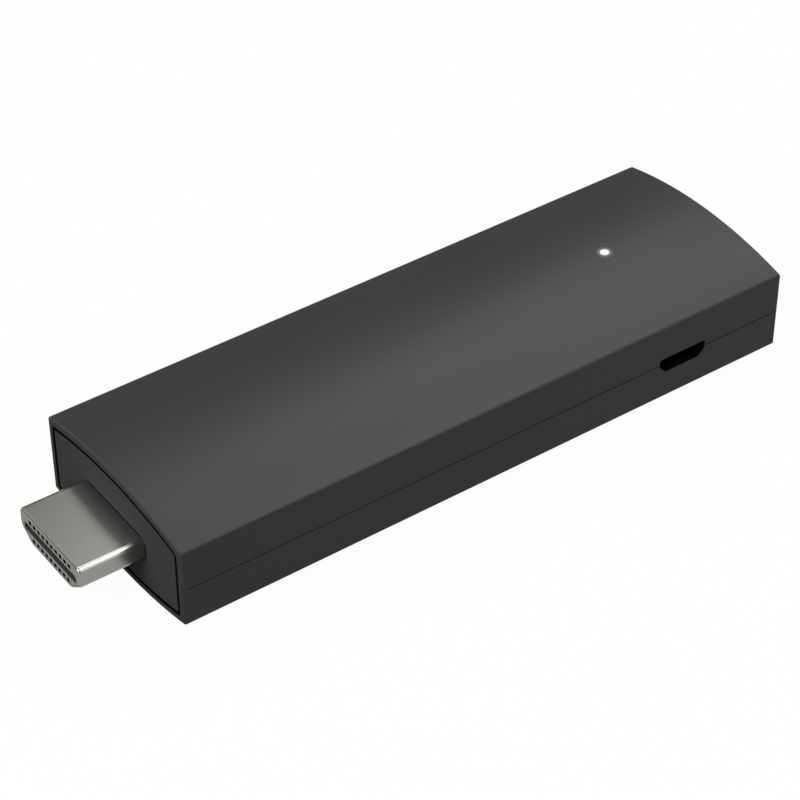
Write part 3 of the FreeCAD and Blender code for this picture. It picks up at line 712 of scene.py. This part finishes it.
litGuide = guideMaterial()
plugCore = plugCoreMaterial()
gold = plainMaterial("goldPlatedBronze", "#d9b15f", 0.3, metallic=1.0)  # stamped: warm and fairly bright
blackNickel = plainMaterial("blackNickelPlatedSteel", "#161616", 0.4, metallic=1.0)  # a dark, dull mirror
tinPlate = plainMaterial("tinPlatedSteel", "#c9c7c2", 0.32, metallic=1.0)  # pale, with a soft mirror
rolledAluminium = plainMaterial("rolledAluminium", "#c6c7c8", 0.35, metallic=1.0, grainSize=0.4)  # cool grey
blackCore = plainMaterial("blackGlassFilledNylon", "#0c0c0c", 0.55)  # black and slightly dull
epoxy = plainMaterial("mouldedEpoxy", "#1c1c1d", 0.55)  # nearly black and matte, from a rough mould
paleResin = plainMaterial("castClearEpoxy", "#d8d8cf", 0.3)  # milky over the lamp's chip
laminate = plainMaterial("solderMaskedLaminate", "#12402a", 0.35, grainSize=0.5)  # green with a satin coat
ferrite = plainMaterial("sinteredFerrite", "#38383a", 0.6)  # a dark, dry grey
ceramic = plainMaterial("sinteredCeramic", "#a58a66", 0.5)  # tan, smooth and dull
silicone = plainMaterial("filledSilicone", "#8d98a6", 0.8)  # blue-grey, soft and without any gloss
# painted shade: faces down in the gap and the port, which no light reaches, are painted near black to stand
# for their shade
paintedGapShade = plainMaterial("paintedShadeInGaps", "#060606", 0.6, level=0.1)

finishes = {
    "light_pipe": litGuide, "hdmi_insulator": plugCore, "hdmi_contacts_upper": gold,
    "hdmi_contacts_lower": gold, "main_board": laminate, "processor": epoxy, "memory_chips": epoxy,
    "flash_chip": epoxy, "power_chip": epoxy, "wifi_module": tinPlate, "power_inductors": ferrite,
    "crystals": tinPlate, "capacitors": ceramic, "esd_arrays": epoxy, "antenna_right": tinPlate,
    "antenna_left": tinPlate, "status_led": paleResin, "shield_frame_upper": tinPlate,
    "shield_lid_upper": tinPlate, "shield_frame_lower": tinPlate, "shield_lid_lower": tinPlate,
    "processor_pad": silicone, "flash_pad": silicone, "lid_pad_upper": silicone,
    "lid_pad_lower": silicone, "heat_spreader_upper": rolledAluminium,
    "heat_spreader_lower": rolledAluminium, "usb_shell": blackNickel, "usb_insulator": blackCore,
    "usb_contacts": gold, "upper_shell": glowPaintedPlastic, "lower_shell": shellPlastic,
    "front_cap": paintedLighterPlastic, "hdmi_plug_shell": nickel,
}
for nodeName, finish in finishes.items():
    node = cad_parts[nodeName]
    if not node.material_slots:
        node.data.materials.append(finish)
    for materialSlot in node.material_slots:
        materialSlot.material = finish
print("materials on", len(finishes), "nodes")

# Which faces get the gap's painted shade and the rim's plastic painted lighter, by a face's centre and the X
# part of its normal
faceTests = {
    "slack": 0.02,        # how far a centre may lie off the place that is meant
    "wall": 0.5,          # a wall of the shells has less than this to either side
    "capWall": 0.8,       # and a wall of the cap, or the outer part of its rounded edge, less than this
    "forward": -0.15,     # a face that looks forward has less than this
}


def inShellGap(centre, normal):
    # faces painted with shade: walls of the recess that takes the cap, which face inwards, its floor, and
    # walls of the port's opening
    slack = faceTests["slack"]
    floorX = body["front"] + housing["recess"]
    inwards = normal.y * centre.y + normal.z * (centre.z - body["middle"]) < 0
    recessWall = inwards and abs(normal.x) < faceTests["wall"] and centre.x < floorX + slack
    recessFloor = near(centre.x, floorX, slack)
    portWall = near(centre.x, port["x"], port["width"] / 2 + slack) \
        and near(centre.z, port["z"], port["height"] / 2 + slack) \
        and -body["half"] + slack < centre.y < -body["half"] + port["depth"]
    return recessWall or recessFloor or portWall


def inCapGap(centre, normal):
    # faces painted with shade: the cap's own rim with most of its rounded edge, and the mouth round the plug
    return abs(normal.x) < faceTests["capWall"] and centre.x > body["front"] + faceTests["slack"]


def onFrontRim(centre, normal):
    # the shells' front ends and the rounding round them, which get the cap's plastic painted lighter
    rimEnd = body["front"] + body["edgeRadius"] + faceTests["slack"]
    return centre.x < rimEnd and normal.x < faceTests["forward"]


shellOthers = ((paintedLighterPlastic, onFrontRim), (paintedGapShade, inShellGap))
dressed = (
    (upperShell, "upper_shell", glowPaintedPlastic, "shell_plastic", shellOthers),
    (lowerShell, "lower_shell", shellPlastic, "shell_plastic", shellOthers),
    (frontCap, "front_cap", paintedLighterPlastic, "cap_plastic", ((paintedGapShade, inCapGap),)),
    (plugShell, "hdmi_plug_shell", nickel, "nickel_plate", ()),
)
for piece, nodeName, finish, slotName, others in dressed:
    setMaterial(piece, finish, others)
    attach(piece, "root")
    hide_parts(nodeName)
print("pieces dressed:", len(dressed))

studio = {
    "floorSize": 4000,
    "floorWhite": "#ffffff",
    "floorMirrored": "#c3c3c3",  # the same floor as bright metal and plastic mirror it
    "floorBounce": "#4a4a4a",    # and as its light falls back on the object
    "shadowSeen": 0.03,          # how much of the floor's own shading the camera sees
    "shadowMirrored": 0.05,      # and how much of it shows in the object's reflections
    "roomMirrored": 0.1,         # how bright the room behind the softboxes is in reflections
    "lampDistance": 700,
    "lampAim": 8,                # height that every softbox looks at
}

# Square softboxes all round: degrees round from +X, degrees up, width, and radiance, where 1 looks white
softboxes = (
    ("shoulderHighCard", 3, 72, 100, 3.2),
    ("rearCard", 15, 63, 150, 4.67),
    ("rearKey", 18, 45, 250, 1.99),
    ("rearFill", 36, 42, 250, 1.76),
    ("farRearHigh", 45, 62, 250, 1.58),
    ("shoulderCard", 50, 47, 150, 1.5),
    ("farRearFill", 54, 45, 250, 0.59),
    ("farHigh", 90, 62, 250, 2.6),
    ("farLow", 120, 28, 250, 1.12),
    ("frontFar", 162, 45, 250, 2.9),
    ("frontFoot", 180, 10, 250, 0.9),
    ("frontLow", 180, 28, 250, 2.0),
    ("frontKey", 198, 45, 250, 5.0),
    ("frontNearLow", 210, 28, 250, 2.0),
    ("frontNearFoot", 216, 10, 250, 0.87),
    ("nearFrontFill", 234, 45, 250, 1.4),
    ("nearFill", 270, 45, 250, 0.56),
    ("nearFoot", 288, 10, 250, 0.9),
    ("shoulderLowCard", 293, 30, 100, 2.4),
    ("nearLow", 300, 28, 250, 2.0),
    ("nearKey", 306, 45, 250, 2.17),
    ("nearHigh", 315, 62, 250, 3.14),
)

# The camera, with its turns in degrees
view = {
    "place": (-151.453, -214.419, 222.715),
    "turned": (50.4748, 0.1778, -35.4649),
    "lens": 122.244,
    "sensor": 36,
    "clipStart": 10,
}


def makeFloor():
    # white to the camera and dimmer in reflections, and a grey card to all other light
    bpy.ops.object.select_all(action="DESELECT")
    bpy.ops.mesh.primitive_plane_add(size=studio["floorSize"] * mm, location=(0, 0, 0))
    floor = bpy.context.active_object
    floor.name = "floor"
    material, tree = startMaterial("whiteSweep")
    path = addNode(tree, "ShaderNodeLightPath")
    isCamera = path.outputs["Is Camera Ray"]
    seen = addNode(tree, "ShaderNodeMath", {"operation": "ADD", "use_clamp": True},
                   {0: isCamera, 1: path.outputs["Is Glossy Ray"]})
    shown = addNode(tree, "ShaderNodeMath", {"operation": "ADD", "use_clamp": True},
                    {0: seen.outputs["Value"], 1: path.outputs["Is Transmission Ray"]})
    share = addNode(tree, "ShaderNodeMapRange", inputs={
        "Value": isCamera, "To Min": studio["shadowMirrored"], "To Max": studio["shadowSeen"]})
    colour = addNode(tree, "ShaderNodeMix", {"data_type": "RGBA"}, {
        "Factor": isCamera, "A": hexColour(studio["floorMirrored"]), "B": hexColour(studio["floorWhite"])})
    paint = addNode(tree, "ShaderNodeBsdfDiffuse", inputs={"Color": colour.outputs["Result"]})
    bright = addNode(tree, "ShaderNodeEmission", inputs={"Color": colour.outputs["Result"], "Strength": 1.0})
    white = addNode(tree, "ShaderNodeMixShader", inputs={
        "Fac": share.outputs["Result"], 1: bright.outputs[0], 2: paint.outputs[0]})
    dim = addNode(tree, "ShaderNodeBsdfDiffuse", inputs={"Color": hexColour(studio["floorBounce"])})
    both = addNode(tree, "ShaderNodeMixShader", inputs={
        "Fac": shown.outputs["Value"], 1: dim.outputs[0], 2: white.outputs[0]})
    finishMaterial(tree, both)
    floor.data.materials.append(material)


def makeWorld():
    # white where the camera sees past the floor, faint in reflections, and no light on the object
    world = bpy.data.worlds.new("studioRoom")
    world.use_nodes = True
    tree = world.node_tree
    tree.nodes.clear()
    path = addNode(tree, "ShaderNodeLightPath")
    strength = addNode(tree, "ShaderNodeMath", {"operation": "MULTIPLY_ADD"}, {
        0: path.outputs["Is Glossy Ray"], 1: studio["roomMirrored"], 2: path.outputs["Is Camera Ray"]})
    back = addNode(tree, "ShaderNodeBackground", inputs={"Color": hexColour("#ffffff"),
                   "Strength": strength.outputs["Value"]})
    addNode(tree, "ShaderNodeOutputWorld", inputs={"Surface": back.outputs[0]})
    bpy.context.scene.world = world


def addSoftbox(name, turn, up, width, radiance):
    turn = math.radians(turn)
    up = math.radians(up)
    way = (math.cos(up) * math.cos(turn), math.cos(up) * math.sin(turn), math.sin(up))
    x, y, z = (part * studio["lampDistance"] for part in way)
    bpy.ops.object.select_all(action="DESELECT")
    bpy.ops.object.light_add(type="AREA", location=(x * mm, y * mm, (z + studio["lampAim"]) * mm))
    lamp = bpy.context.active_object
    lamp.name = name
    lamp.rotation_euler = (math.pi / 2 - up, 0, turn + math.pi / 2)
    lamp.data.shape = "SQUARE"
    lamp.data.size = width * mm
    lamp.data.energy = radiance * math.pi * (width * mm) ** 2


def addCamera():
    bpy.ops.object.camera_add(location=[part * mm for part in view["place"]],
                              rotation=[math.radians(part) for part in view["turned"]])
    camera = bpy.context.active_object
    camera.data.lens = view["lens"]
    camera.data.sensor_width = view["sensor"]
    camera.data.clip_start = view["clipStart"] * mm
    bpy.context.scene.camera = camera


makeFloor()
makeWorld()
for softbox in softboxes:
    addSoftbox(*softbox)
addCamera()
bpy.context.scene.view_settings.view_transform = "Standard"
print("stage set:", len(softboxes), "softboxes")
